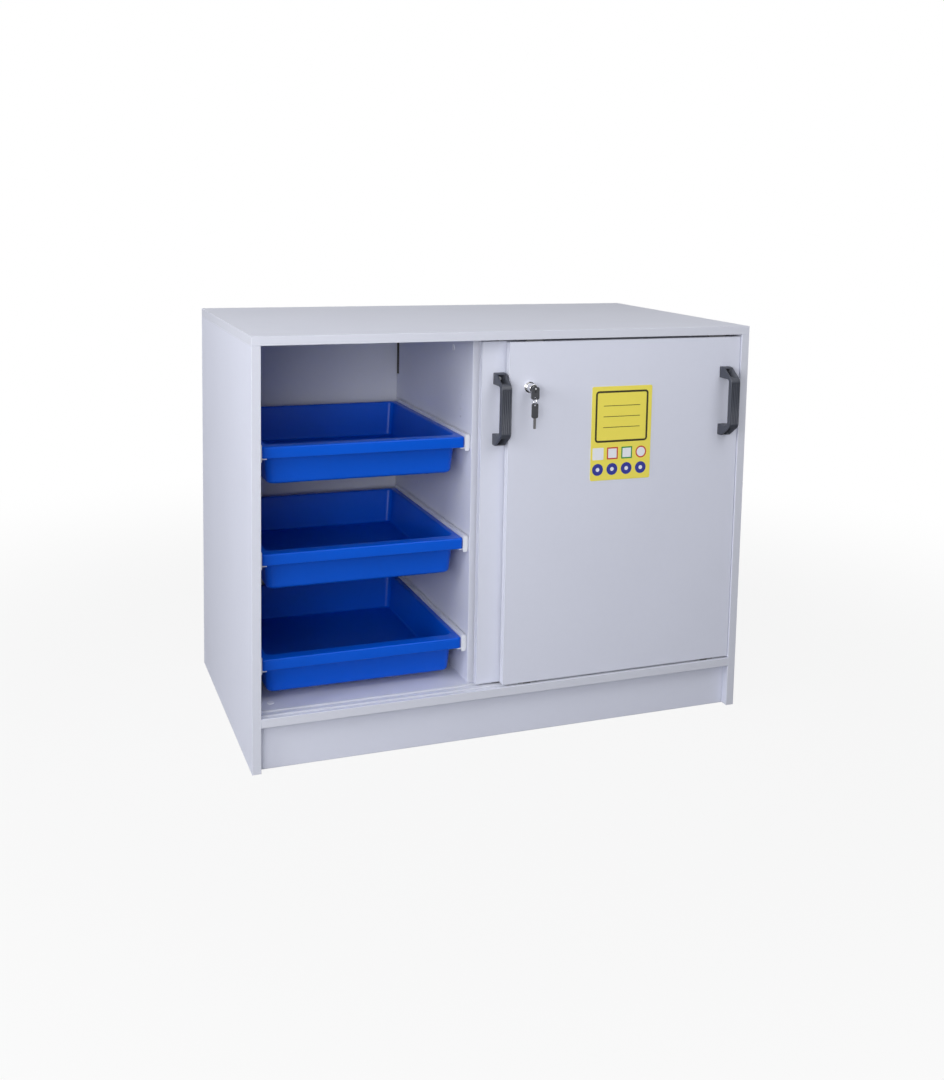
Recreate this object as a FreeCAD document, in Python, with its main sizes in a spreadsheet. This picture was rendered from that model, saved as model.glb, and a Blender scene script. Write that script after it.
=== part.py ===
import FreeCAD, Part
import Sketcher
import math
import os
import re

# Reagent drawer cabinet: a board carcass on a plinth, two sliding doors in a double track, a push
# lock with its key, and six pull-out trays on roller runners, three in each bay.
# Sizes are millimetres. X runs to the right, Y to the rear, Z up. Places in the code are counted
# from the cabinet's left side, front edge and floor. The part's origin is the bottom centre of its box.

doc = FreeCAD.newDocument("ReagentCabinet")
sheet = doc.addObject("Spreadsheet::Sheet", "Sizes")

sizes = {
    # Carcass
    "cabinet_width": 1140,
    "cabinet_depth": 650,
    "cabinet_height": 900,
    "board": 19,
    "board_round": 0.8,
    "plinth_height": 97,
    "kick_setback": 20,
    "middle_space": 134,
    "partition_setback": 50,
    "back_setback": 55,
    "back_thickness": 8,
    "notch_depth": 18,
    "notch_height": 150,
    "peg_hole": 5,
    "peg_hole_depth": 11,
    "peg_pitch": 16,
    "peg_row": 69,
    "peg_drop": 296,
    "deep_peg_row": 358,
    "deep_peg_drop": 507,
    # Caps over the carcass fittings
    "cap_diameter": 15,
    "cap_height": 1.2,
    "cap_round": 0.5,
    "wall_cap_setback": 123,
    "wall_cap_drop": 34,
    "floor_cap_inset": 34.5,
    "floor_cap_setback": 78,
    # Sliding doors
    "door_setback": 4,
    "door_thickness": 18,
    "door_spacing": 4,
    "door_side_gap": 1,
    "door_foot_gap": 4,
    "door_head_gap": 5,
    "left_door_lap": 45,
    "right_door_lap": 20,
    # Door tracks
    "channel_width": 10,
    "channel_depth": 5,
    "track_floor": 3,
    "track_margin": 10,
    # Door wheels and guides
    "wheel_diameter": 22,
    "wheel_width": 6,
    "wheel_inset": 60,
    "housing_length": 44,
    "housing_width": 12,
    "housing_height": 28,
    "housing_drop": 2,
    "wheel_slot_length": 26,
    "wheel_slot_width": 7.4,
    "guide_length": 40,
    "guide_width": 8,
    "guide_depth": 15,
    "guide_clearance": 0.5,
    # Handles
    "handle_length": 157,
    "handle_width": 24,
    "handle_reach": 50,
    "handle_tip": 15,
    "handle_foot": 25,
    "handle_grip": 11,
    "handle_wall": 3,
    "handle_floor": 4,
    "handle_bend": 16,
    "handle_inner_bend": 6,
    "handle_edge": 2,
    "handle_drop": 67,
    "handle_side_gap": 4,
    "left_handle_inset": 38,
    "right_handle_inset": 40,
    "handle_screw": 4,
    "handle_screw_length": 18,
    "handle_screw_head": 8,
    "handle_screw_head_height": 2.5,
    # Sign plate
    "sign_width": 148,
    "sign_height": 210,
    "sign_thickness": 0.8,
    "sign_round": 4,
    "sign_inset": 197,
    "sign_drop": 103,
    # Push lock
    "lock_inset": 47,
    "lock_drop": 98,
    "lock_flange_diameter": 24,
    "lock_flange": 2,
    "lock_sleeve_diameter": 21.5,
    "lock_end_wall": 2,
    "lock_diameter": 19,
    "lock_reach": 24,
    "lock_travel": 8,
    "lock_edge": 1,
    "bolt_diameter": 8,
    "bolt_clearance": 0.6,
    "plug_diameter": 12,
    "plug_length": 29,
    "plug_slot_depth": 22,
    "striker_width": 24,
    "striker_height": 50,
    "striker_thickness": 2.8,
    "striker_round": 4,
    "striker_hole": 10,
    # Keys
    "key_thickness": 2.2,
    "key_blade_height": 8,
    "key_blade_length": 20,
    "key_neck": 7.5,
    "key_neck_height": 6,
    "key_pin": 2.4,
    "bow_width": 17,
    "bow_thickness": 6,
    "bow_rise": 5,
    "bow_drop": 22,
    "bow_slot_drop": 7,
    "bow_round": 4,
    "eye_diameter": 5,
    "eye_margin": 3.5,
    "ring_radius": 7,
    "ring_wire": 0.8,
    "ring_sink": 0.6,
    "spare_sink": 1,
    "spare_width": 14,
    "spare_thickness": 4,
    "spare_length": 32,
    "spare_rise": 4,
    "spare_round": 4,
    "spare_blade_width": 6,
    "spare_blade_thickness": 2,
    "spare_blade_length": 23,
    # Trays
    "tray_side_gap": 12.5,
    "tray_rear_gap": 39,
    "tray_front": 56,
    "tray_height": 85,
    "tray_headroom": 214,
    "tray_foot_gap": 18,
    "rim_height": 24,
    "rim_wall": 3,
    "rim_corner": 8,
    "tub_side_inset": 11,
    "tub_front_inset": 26,
    "tub_rear_inset": 12,
    "tub_slope": 6,
    "tub_corner": 14,
    "tub_wall": 3.5,
    "tub_bottom_round": 8,
    # Roller runners
    "runner_sheet": 1.5,
    "runner_rise": 4.5,
    "runner_ledge": 10,
    "runner_end_height": 35.5,
    "running_gap": 1,
    "roller_diameter": 18,
    "roller_width": 6,
    "roller_round": 0.6,
    "roller_gap": 0.3,
    "axle_diameter": 4,
    "front_axle_inset": 17,
    "rear_axle_inset": 14,
    "rear_roller_drop": 16,
    "guard_start": 30,
    "runner_screw": 3.5,
    "runner_screw_length": 12,
    "runner_screw_head": 7,
    "runner_screw_head_height": 0.9,
    "runner_screw_inset": 40,
    # Shared clearances
    "fit_gap": 0.2,
    "screw_gap": 0.2,
    "overrun": 2,
}

# Lines and places that follow from the sizes
derived = {
    "middle_depth": "(cabinet_depth + door_setback - handle_reach) / 2",
    "inner_width": "cabinet_width - 2 * board",
    "bay_width": "(inner_width - 2 * board - middle_space) / 2",
    "base_top": "plinth_height + board",
    "ceiling": "cabinet_height - board",
    "inner_height": "ceiling - base_top",
    "back_front": "cabinet_depth - back_setback",
    "partition_depth": "back_front - partition_setback",
    "left_partition_place": "board + bay_width",
    "right_partition_place": "cabinet_width - 2 * board - bay_width",
    "left_bay_middle": "board + bay_width / 2",
    "right_bay_middle": "cabinet_width - board - bay_width / 2",
    "peg_level": "ceiling - peg_drop",
    "deep_peg_level": "ceiling - deep_peg_drop",
    "left_door_width": "inner_width / 2 - door_side_gap + left_door_lap",
    "right_door_width": "inner_width / 2 - door_side_gap + right_door_lap",
    "left_door_opened": "right_door_place - handle_reveal - board - door_side_gap",
    "handle_reveal": "left_handle_inset + handle_width / 2 + handle_side_gap",
    "left_door_front": "door_setback + door_thickness + door_spacing",
    "left_door_place": "board + door_side_gap + left_door_opened",
    "right_door_place": "cabinet_width - board - door_side_gap - right_door_width",
    "door_bottom": "base_top + door_foot_gap",
    "door_height": "ceiling - door_head_gap - door_bottom",
    "door_top": "ceiling - door_head_gap",
    "track_front": "door_setback + door_thickness / 2 - track_margin",
    "track_width": "door_thickness + door_spacing + 2 * track_margin",
    "track_height": "channel_depth + track_floor",
    "rear_channel": "track_margin + door_thickness + door_spacing",
    "wheel_rise": "roller_gap + wheel_diameter / 2 - channel_depth - door_foot_gap",
    "guide_rise": "door_head_gap + channel_depth - guide_clearance",
    "handle_screw_place": "handle_foot / 2",
    "handle_level": "door_top - handle_drop - handle_length",
    "sign_level": "door_top - sign_drop - sign_height",
    "lock_level": "door_top - lock_drop",
    "left_handle_place": "left_door_place + left_handle_inset",
    "right_handle_place": "right_door_place + right_door_width - right_handle_inset",
    "lock_place": "right_door_place + lock_inset",
    "lock_height": "lock_level - door_bottom",
    "lock_bore": "lock_diameter + 2 * fit_gap",
    "striker_place": "lock_place + left_door_opened",
    "hinge_front": "door_setback - lock_reach - key_neck",
    "eye_drop": "bow_drop - eye_margin",
    "ring_drop": "eye_drop + ring_sink + ring_radius",
    "spare_eye_drop": "ring_drop + ring_radius + spare_sink",
    "tray_width": "bay_width - 2 * tray_side_gap",
    "tray_depth": "back_front - tray_rear_gap - tray_front",
    "tray_level": "ceiling - tray_headroom",
    "tray_pitch": "(inner_height - tray_headroom - tray_height - tray_foot_gap) / 2",
    "runner_length": "tray_depth",
    "runner_flange": "tray_side_gap - runner_sheet - running_gap",
    "channel_flange": "tray_side_gap - 2 * runner_sheet - running_gap",
    "roller_middle": "(tray_width + tray_side_gap) / 2",
    "rear_roller_top": "roller_diameter / 2 + roller_gap - rear_roller_drop",
    "channel_top": "-rear_roller_drop - roller_diameter / 2 - roller_gap",
    "front_roller_drop": "roller_diameter / 2 + roller_gap + runner_sheet - runner_rise",
    "runner_front": "tray_front + runner_sheet + running_gap",
    "runner_setback": "tray_front - runner_front",
}

for row, (alias, size) in enumerate(sizes.items(), 1):
    sheet.set(f"A{row}", alias)
    sheet.set(f"B{row}", str(size))
    sheet.setAlias(f"B{row}", alias)
doc.recompute()


# Expression text in which every word is bound to its cell of the sheet
def bound(text):
    def swap(match):
        word = match.group()
        if word in derived:
            return "(" + bound(derived[word]) + ")"
        return "Sizes." + word if word in sizes else word
    return re.sub(r"[a-z_]+", swap, text)


def value(text):
    return float(sheet.evalExpression(bound(text)))


def spot(pair):
    return FreeCAD.Vector(value(pair[0]), value(pair[1]), 0)


nodes = {}

# Two places closer than this are the same
hair = 1e-6


def new_body(name):
    body = doc.addObject("PartDesign::Body", name)
    body.Label = name
    return body


# A sketch on one of the body's origin planes, raised along the plane's normal
def new_sketch(body, plane, lift="0"):
    face = next(item for item in body.Origin.OriginFeatures if item.Role == plane)
    sketch = body.newObject("Sketcher::SketchObject", body.Name + "_sketch")
    sketch.AttachmentSupport = [(face, "")]
    sketch.MapMode = "FlatFace"
    sketch.setExpression("AttachmentOffset.Base.z", bound(lift))
    return sketch


def bind(sketch, kind, place, text):
    number = sketch.addConstraint(Sketcher.Constraint(kind, *place, value(text)))
    sketch.setExpression(f"Constraints[{number}]", bound(text))


def pin_point(sketch, edge, end, pair):
    bind(sketch, "DistanceX", (-1, 1, edge, end), pair[0])
    bind(sketch, "DistanceY", (-1, 1, edge, end), pair[1])


# A closed outline of straight lines through corners given as pairs of texts
def outline(sketch, corners):
    first = sketch.GeometryCount
    count = len(corners)
    for step, corner in enumerate(corners):
        line = Part.LineSegment(spot(corner), spot(corners[(step + 1) % count]))
        sketch.addGeometry(line, False)
    for step, corner in enumerate(corners):
        after = first + (step + 1) % count
        sketch.addConstraint(Sketcher.Constraint("Coincident", first + step, 2, after, 1))
        pin_point(sketch, first + step, 1, corner)


def rectangle(sketch, low, high):
    outline(sketch, [low, (high[0], low[1]), high, (low[0], high[1])])


def circle(sketch, middle, radius):
    ring = Part.Circle(spot(middle), FreeCAD.Vector(0, 0, 1), value(radius))
    edge = sketch.addGeometry(ring, False)
    pin_point(sketch, edge, 3, middle)
    bind(sketch, "Radius", (edge,), radius)


# A rectangle whose corners are quarter circles: each line and arc has its own pinned ends
def rounded_rectangle(sketch, low, high, radius):
    near = [f"{low[0]} + {radius}", f"{low[1]} + {radius}"]
    far = [f"{high[0]} - ({radius})", f"{high[1]} - ({radius})"]
    path = [(near[0], low[1]), (far[0], low[1]), (high[0], near[1]), (high[0], far[1]),
            (far[0], high[1]), (near[0], high[1]), (low[0], far[1]), (low[0], near[1])]
    hubs = [(far[0], near[1]), (far[0], far[1]), (near[0], far[1]), (near[0], near[1])]
    first = sketch.GeometryCount
    up = FreeCAD.Vector(0, 0, 1)
    for side in range(4):
        start, end = path[2 * side], path[2 * side + 1]
        sketch.addGeometry(Part.LineSegment(spot(start), spot(end)), False)
        turn = Part.Circle(spot(hubs[side]), up, value(radius))
        arc = Part.ArcOfCircle(turn, (side - 1) * math.pi / 2, side * math.pi / 2)
        sketch.addGeometry(arc, False)
    for side in range(4):
        line, arc, after = first + 2 * side, first + 2 * side + 1, first + (2 * side + 2) % 8
        sketch.addConstraint(Sketcher.Constraint("Coincident", line, 2, arc, 1))
        sketch.addConstraint(Sketcher.Constraint("Coincident", arc, 2, after, 1))
        pin_point(sketch, line, 1, path[2 * side])
        pin_point(sketch, line, 2, path[2 * side + 1])
        bind(sketch, "Radius", (arc,), radius)


def pad(body, sketch, length, back=False, middle=False):
    item = body.newObject("PartDesign::Pad", body.Name + "_pad")
    item.Profile = sketch
    item.setExpression("Length", bound(length))
    item.Reversed = back
    item.Midplane = middle
    return item


# A cut must take material away, so the volume is compared
def pocket(body, sketch, length, back=False, middle=False):
    doc.recompute()
    before = body.Shape.Volume
    item = body.newObject("PartDesign::Pocket", body.Name + "_pocket")
    item.Profile = sketch
    item.setExpression("Length", bound(length))
    item.Reversed = back
    item.Midplane = middle
    doc.recompute()
    if body.Shape.Volume >= before:
        raise ValueError(body.Label + ": a pocket takes nothing away")
    return item


# Rounds the edges that pass the test
def soften(body, radius, test=lambda edge: True):
    doc.recompute()
    tip = body.Tip
    names = [f"Edge{number}" for number, edge in enumerate(tip.Shape.Edges, 1) if test(edge)]
    item = body.newObject("PartDesign::Fillet", body.Name + "_fillet")
    item.Base = (tip, names)
    item.setExpression("Radius", bound(radius))
    return item


def span(edge, axis):
    ends = [getattr(corner, axis) for corner in (edge.Vertexes[0], edge.Vertexes[-1])]
    return abs(ends[0] - ends[1])


def along(axis):
    others = [other for other in "XYZ" if other != axis]
    return lambda edge: span(edge, axis) > 0 and all(span(edge, other) < hair for other in others)


def place(item, x, y, z):
    item.setExpression("Placement.Base.x", bound(f"({x}) - cabinet_width / 2"))
    item.setExpression("Placement.Base.y", bound(f"({y}) - middle_depth"))
    item.setExpression("Placement.Base.z", bound(z))


def keep(item, name, x, y, z):
    item.Label = name
    place(item, x, y, z)
    nodes[name] = item


# Another object with the shape of the ones named, which can be placed by itself
def copy_of(name, *sources):
    item = doc.addObject("Part::Compound", name)
    item.Links = list(sources)
    return item


# Turns an object whose axis is Z so that the axis points along the one given
def aim(item, direction):
    item.Placement.Rotation = FreeCAD.Rotation(FreeCAD.Vector(0, 0, 1), FreeCAD.Vector(*direction))


# Copies of one object at several places, counted from the group's own corner
def group_of(name, source, places):
    copies = []
    for number, (x, y, z, direction) in enumerate(places, 1):
        item = copy_of(f"{name}_{number}", source)
        aim(item, direction)
        for axis, text in zip("xyz", (x, y, z)):
            item.setExpression(f"Placement.Base.{axis}", bound(text))
        copies.append(item)
    return copy_of(name, *copies)


def mirrored(name, source):
    item = doc.addObject("Part::Mirroring", name)
    item.Source = source
    item.Normal = FreeCAD.Vector(1, 0, 0)
    return item


# A plain board with softened edges
def board_body(name, width, depth, height):
    body = new_body(name)
    sketch = new_sketch(body, "XY_Plane")
    rectangle(sketch, ("0", "0"), (width, depth))
    pad(body, sketch, height)
    soften(body, "board_round")
    return body


# Blind holes in a side face of a board: face "0" is its left face, "board" its right one
def side_holes(body, face, spots, radius, depth):
    sketch = new_sketch(body, "YZ_Plane", face)
    for middle in spots:
        circle(sketch, middle, radius)
    pocket(body, sketch, depth, back=face == "0")


tray_levels = [f"tray_level - {step} * tray_pitch" for step in range(3)]


# Where the runner screws enter a wall that starts at the given front and bottom
def runner_screw_spots(front, bottom):
    rows = ("runner_front + runner_screw_inset", "runner_front + runner_length - runner_screw_inset")
    return [(f"{row} - ({front})", f"{level} - rear_roller_drop - ({bottom})")
            for level in tray_levels for row in rows]


# Carcass boards
def make_side_panels():
    screw_radius = "runner_screw / 2 + screw_gap"
    for name, x, face in (("left_side_panel", "0", "board"),
                                ("right_side_panel", "cabinet_width - board", "0")):
        body = board_body(name, "board", "cabinet_depth", "ceiling")
        side_holes(body, face, runner_screw_spots("0", "0"), screw_radius, "runner_screw_length")
        keep(body, name, x, "0", "0")


def make_top_panel():
    body = board_body("top_panel", "cabinet_width", "cabinet_depth", "board")
    sketch = new_sketch(body, "XY_Plane")
    rectangle(sketch, ("board", "track_front"), ("board + inner_width", "track_front + track_width"))
    pocket(body, sketch, "track_height", back=True)
    keep(body, "top_panel", "0", "0", "ceiling")


def make_base_panel():
    body = board_body("base_panel", "inner_width", "cabinet_depth", "board")
    sketch = new_sketch(body, "XY_Plane", "board")
    rectangle(sketch, ("-overrun", "track_front"), ("inner_width + overrun", "track_front + track_width"))
    pocket(body, sketch, "track_height")
    keep(body, "base_panel", "board", "0", "plinth_height")


# A partition has its rear top corner notched. The bay is on the side of the face given.
def make_partition(name, x, bay_face):
    body = new_body(name)
    sketch = new_sketch(body, "YZ_Plane")
    notch_front = "partition_depth - notch_depth"
    notch_bottom = "inner_height - notch_height"
    outline(sketch, [("0", "0"), ("partition_depth", "0"), ("partition_depth", notch_bottom),
                     (notch_front, notch_bottom), (notch_front, "inner_height"), ("0", "inner_height")])
    pad(body, sketch, "board")
    soften(body, "board_round")
    side_holes(body, bay_face, runner_screw_spots("partition_setback", "base_top"),
               "runner_screw / 2 + screw_gap", "runner_screw_length")
    pegs = [("peg_row", f"peg_level + {step} * peg_pitch") for step in (0, 1, 3)]
    pegs.append(("deep_peg_row", "deep_peg_level"))
    side_holes(body, bay_face, pegs, "peg_hole / 2", "peg_hole_depth")
    keep(body, name, x, "partition_setback", "base_top")


def make_plain_boards():
    back = board_body("back_panel", "inner_width", "back_thickness", "inner_height")
    keep(back, "back_panel", "board", "back_front", "base_top")
    kick = board_body("kick_board", "inner_width", "board", "plinth_height")
    keep(kick, "kick_board", "board", "kick_setback", "0")


def make_caps():
    cap = new_body("cap")
    sketch = new_sketch(cap, "XY_Plane")
    circle(sketch, ("0", "0"), "cap_diameter / 2")
    pad(cap, sketch, "cap_height")
    soften(cap, "cap_round", lambda edge: edge.Vertexes[0].Z > 0)
    row, level = "partition_setback + wall_cap_setback", "ceiling - wall_cap_drop"
    places = [
        ("left_partition_place", row, level, (-1, 0, 0)),
        ("right_partition_place + board", row, level, (1, 0, 0)),
        ("board + floor_cap_inset", "floor_cap_setback", "base_top", (0, 0, 1)),
        ("cabinet_width - board - floor_cap_inset", "floor_cap_setback", "base_top", (0, 0, 1)),
    ]
    keep(group_of("connector_caps", cap, places), "connector_caps", "0", "0", "0")


# Door tracks: a strip with two channels, let into the base from above and into the top from below
def make_track(name, z, back, floor, mouth):
    body = new_body(name)
    sketch = new_sketch(body, "YZ_Plane")
    corners = [("0", back), ("track_width", back), ("track_width", mouth)]
    for middle in ("rear_channel", "track_margin"):
        high, low = f"{middle} + channel_width / 2", f"{middle} - channel_width / 2"
        corners += [(high, mouth), (high, floor), (low, floor), (low, mouth)]
    outline(sketch, corners + [("0", mouth)])
    pad(body, sketch, "inner_width")
    keep(body, name, "board", "track_front", z)


# A door with mortises for its wheel housings and guides
def door_body(name, width):
    body = board_body(name, width, "door_thickness", "door_height")
    middles = ("wheel_inset", f"{width} - wheel_inset")
    feet = new_sketch(body, "XY_Plane")
    heads = new_sketch(body, "XY_Plane", "door_height")
    for middle in middles:
        rectangle(feet, (f"{middle} - housing_length / 2", "(door_thickness - housing_width) / 2"),
                  (f"{middle} + housing_length / 2", "(door_thickness + housing_width) / 2"))
        rectangle(heads, (f"{middle} - guide_length / 2", "(door_thickness - guide_width) / 2"),
                  (f"{middle} + guide_length / 2", "(door_thickness + guide_width) / 2"))
    pocket(body, feet, "housing_height", back=True)
    pocket(body, heads, "guide_depth")
    return body


# Screw holes behind a handle, in the door's front face
def handle_holes(body, x):
    sketch = new_sketch(body, "XZ_Plane")
    for level in ("handle_screw_place", "handle_length - handle_screw_place"):
        circle(sketch, (x, f"handle_level - door_bottom + {level}"), "handle_screw / 2 + screw_gap")
    pocket(body, sketch, "handle_screw_length - handle_floor + screw_gap")


def make_doors():
    left = door_body("left_door", "left_door_width")
    handle_holes(left, "left_handle_inset")
    keep(left, "left_door", "left_door_place", "left_door_front", "door_bottom")
    right = door_body("right_door", "right_door_width")
    handle_holes(right, "right_door_width - right_handle_inset")
    bore = new_sketch(right, "XZ_Plane")
    circle(bore, ("lock_inset", "lock_height"), "lock_sleeve_diameter / 2 + fit_gap")
    pocket(right, bore, "door_thickness + overrun")
    keep(right, "right_door", "right_door_place", "door_setback", "door_bottom")


# A wheel housing with its axle, drawn about the middle of the door's thickness
def make_housing():
    body = new_body("wheel_housing")
    sketch = new_sketch(body, "XY_Plane", "-housing_drop")
    rectangle(sketch, ("-housing_length / 2", "-housing_width / 2"),
              ("housing_length / 2", "housing_width / 2"))
    pad(body, sketch, "housing_height + housing_drop")
    slot = new_sketch(body, "XY_Plane", "-housing_drop")
    rectangle(slot, ("-wheel_slot_length / 2", "-wheel_slot_width / 2"),
              ("wheel_slot_length / 2", "wheel_slot_width / 2"))
    pocket(body, slot, "housing_drop + wheel_rise + wheel_slot_length / 2", back=True)
    axle = new_sketch(body, "XZ_Plane")
    circle(axle, ("0", "wheel_rise"), "axle_diameter / 2")
    pad(body, axle, "housing_width", middle=True)
    return body


def make_guide():
    body = new_body("head_guide")
    sketch = new_sketch(body, "XY_Plane", "-guide_depth")
    rectangle(sketch, ("-guide_length / 2", "-guide_width / 2"), ("guide_length / 2", "guide_width / 2"))
    pad(body, sketch, "guide_depth + guide_rise")
    return body


# A wheel with a bore that runs on an axle: about X from the YZ plane, about Y from the XZ plane
def wheel_body(name, plane, diameter, width):
    body = new_body(name)
    sketch = new_sketch(body, plane)
    circle(sketch, ("0", "0"), f"{diameter} / 2")
    circle(sketch, ("0", "0"), "axle_diameter / 2 + roller_gap")
    pad(body, sketch, width, middle=True)
    soften(body, "roller_round", lambda edge: edge.Length > 3 * value(diameter) / 2 and edge.Closed)
    return body


def make_door_fittings():
    housing, guide = make_housing(), make_guide()
    wheel = wheel_body("door_wheel", "XZ_Plane", "wheel_diameter", "wheel_width")
    up = (0, 0, 1)
    for side in ("left", "right"):
        width, front = f"{side}_door_width", "left_door_front" if side == "left" else "door_setback"
        middle = f"{front} + door_thickness / 2"
        insets = {"left": "wheel_inset", "right": f"{width} - wheel_inset"}
        low, high = ([(inset, "0", z, up) for inset in insets.values()] for z in ("0", "door_height"))
        feet = group_of(f"{side}_feet", housing, low)
        heads = group_of(f"{side}_heads", guide, high)
        name = f"{side}_door_inserts"
        keep(copy_of(name, feet, heads), name, f"{side}_door_place", middle, "door_bottom")
        for end, inset in insets.items():
            name = f"{side}_door_{end}_wheel"
            keep(copy_of(name, wheel), name, f"{side}_door_place + {inset}", middle,
                 "door_bottom + wheel_rise")


# The bridge handle: its side outline, two bends, and an open recess for a screw in each sloping foot
def make_handle():
    body = new_body("handle")
    sketch = new_sketch(body, "YZ_Plane")
    top, hollow = "handle_length - handle_foot", "handle_grip - handle_reach"
    outline(sketch, [("0", "0"), ("-handle_tip", "0"), ("-handle_reach", "handle_foot"),
                     ("-handle_reach", top), ("-handle_tip", "handle_length"), ("0", "handle_length"),
                     ("0", top), (hollow, top), (hollow, "handle_foot"), ("0", "handle_foot")])
    pad(body, sketch, "handle_width", middle=True)
    crosswise, upright = along("X"), along("Z")
    inside = value(hollow)
    tip = -value("handle_tip")
    soften(body, "handle_bend", lambda edge: crosswise(edge) and edge.Vertexes[0].Y < tip + hair
           and abs(edge.Vertexes[0].Y - inside) > hair)
    soften(body, "handle_inner_bend",
           lambda edge: crosswise(edge) and abs(edge.Vertexes[0].Y - inside) < hair)
    soften(body, "handle_edge", lambda edge: upright(edge) and edge.Vertexes[0].Y < inside - hair)
    recess = new_sketch(body, "YZ_Plane")
    for low, high in (("handle_wall", "handle_foot - handle_wall"),
                      ("handle_length - handle_foot + handle_wall", "handle_length - handle_wall")):
        rectangle(recess, ("-handle_reach - overrun", low), ("-handle_floor", high))
    pocket(body, recess, "handle_width - 2 * handle_wall", middle=True)
    screws = new_sketch(body, "XZ_Plane")
    for level in ("handle_screw_place", "handle_length - handle_screw_place"):
        circle(screws, ("0", level), "handle_screw / 2 + screw_gap")
    pocket(body, screws, "handle_floor + overrun", back=True)
    return body


# A screw along Z: the underside of its head is at zero and its shank points up
def screw_body(name, shank, length, head, head_height):
    body = new_body(name)
    cap = new_sketch(body, "XY_Plane")
    circle(cap, ("0", "0"), f"{head} / 2")
    pad(body, cap, head_height, back=True)
    rod = new_sketch(body, "XY_Plane")
    circle(rod, ("0", "0"), f"{shank} / 2")
    pad(body, rod, length)
    return body


def make_handles():
    handle = make_handle()
    screw = screw_body("handle_screw_shape", "handle_screw", "handle_screw_length", "handle_screw_head",
                       "handle_screw_head_height")
    levels = ("handle_screw_place", "handle_length - handle_screw_place")
    for side, front in (("left", "left_door_front"), ("right", "door_setback")):
        name = f"{side}_door_handle"
        keep(copy_of(name, handle), name, f"{side}_handle_place", front, "handle_level")
        name = f"{side}_handle_screws"
        screws = group_of(name, screw, [("0", "-handle_floor", level, (0, 1, 0)) for level in levels])
        keep(screws, name, f"{side}_handle_place", front, "handle_level")


def make_sign():
    body = new_body("sign_plate")
    sketch = new_sketch(body, "XZ_Plane")
    rounded_rectangle(sketch, ("0", "0"), ("sign_width", "sign_height"), "sign_round")
    pad(body, sketch, "sign_thickness")
    keep(body, "sign_plate", "right_door_place + sign_inset", "door_setback", "sign_level")


# The push lock: all pieces are drawn about the lock's axis, with zero on the door's front face
def round_pad(body, lift, radius, length, back=False):
    sketch = new_sketch(body, "XZ_Plane", lift)
    circle(sketch, ("0", "0"), radius)
    pad(body, sketch, length, back=back)


def round_pocket(body, lift, radius, length):
    sketch = new_sketch(body, "XZ_Plane", lift)
    circle(sketch, ("0", "0"), radius)
    pocket(body, sketch, length)


def make_lock_housing():
    body = new_body("lock_housing")
    round_pad(body, "0", "lock_flange_diameter / 2", "lock_flange")
    round_pad(body, "0", "lock_sleeve_diameter / 2", "door_thickness", back=True)
    round_pocket(body, "lock_flange", "lock_bore / 2", "lock_flange + door_thickness - lock_end_wall")
    round_pocket(body, "0", "bolt_diameter / 2 + fit_gap", "door_thickness + overrun")
    keep(body, "lock_housing", "lock_place", "door_setback", "lock_level")


def make_lock_cylinder():
    body = new_body("lock_cylinder")
    depth = "door_thickness - lock_end_wall - lock_travel - bolt_clearance"
    tip = "door_thickness + door_spacing - bolt_clearance - lock_travel"
    round_pad(body, "lock_reach", "lock_diameter / 2", f"lock_reach + {depth}", back=True)
    front = -value("lock_reach")
    soften(body, "lock_edge", lambda edge: edge.Closed and abs(edge.Vertexes[0].Y - front) < hair)
    round_pad(body, "0", "bolt_diameter / 2", tip, back=True)
    round_pocket(body, "lock_reach", "plug_diameter / 2 + fit_gap", "plug_length + fit_gap")
    keep(body, "lock_cylinder", "lock_place", "door_setback", "lock_level")


def make_lock_plug():
    body = new_body("lock_plug")
    round_pad(body, "lock_reach", "plug_diameter / 2", "plug_length", back=True)
    slot = new_sketch(body, "XZ_Plane", "lock_reach")
    half_wide, half_high = "(key_thickness / 2 + fit_gap)", "(key_blade_height / 2 + fit_gap)"
    rectangle(slot, (f"-{half_wide}", f"-{half_high}"), (half_wide, half_high))
    pocket(body, slot, "plug_slot_depth")
    keep(body, "lock_plug", "lock_place", "door_setback", "lock_level")


def make_striker():
    body = new_body("striker_plate")
    sketch = new_sketch(body, "XZ_Plane")
    rounded_rectangle(sketch, ("-striker_width / 2", "-striker_height / 2"),
                      ("striker_width / 2", "striker_height / 2"), "striker_round")
    circle(sketch, ("0", "0"), "striker_hole / 2")
    pad(body, sketch, "striker_thickness")
    keep(body, "striker_plate", "striker_place", "left_door_front", "lock_level")


# The key in the lock: blade and neck end in an eye, on which the bow folds down. Zero is the fold's pin.
def make_key():
    body = new_body("key")
    sketch = new_sketch(body, "YZ_Plane")
    face, tip = "key_neck", "key_neck + key_blade_length"
    neck, blade = "key_neck_height / 2", "key_blade_height / 2"
    outline(sketch, [("0", f"-{neck}"), (face, f"-{neck}"), (face, f"-{blade}"), (tip, f"-{blade}"),
                     (tip, blade), (face, blade), (face, neck), ("0", neck)])
    pad(body, sketch, "key_thickness", middle=True)
    eye = new_sketch(body, "YZ_Plane")
    circle(eye, ("0", "0"), neck)
    pad(body, eye, "key_thickness", middle=True)
    bore = new_sketch(body, "YZ_Plane")
    circle(bore, ("0", "0"), "key_pin / 2 + fit_gap")
    pocket(body, bore, "key_thickness + overrun", middle=True)
    keep(body, "key", "lock_place", "hinge_front", "lock_level")


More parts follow.
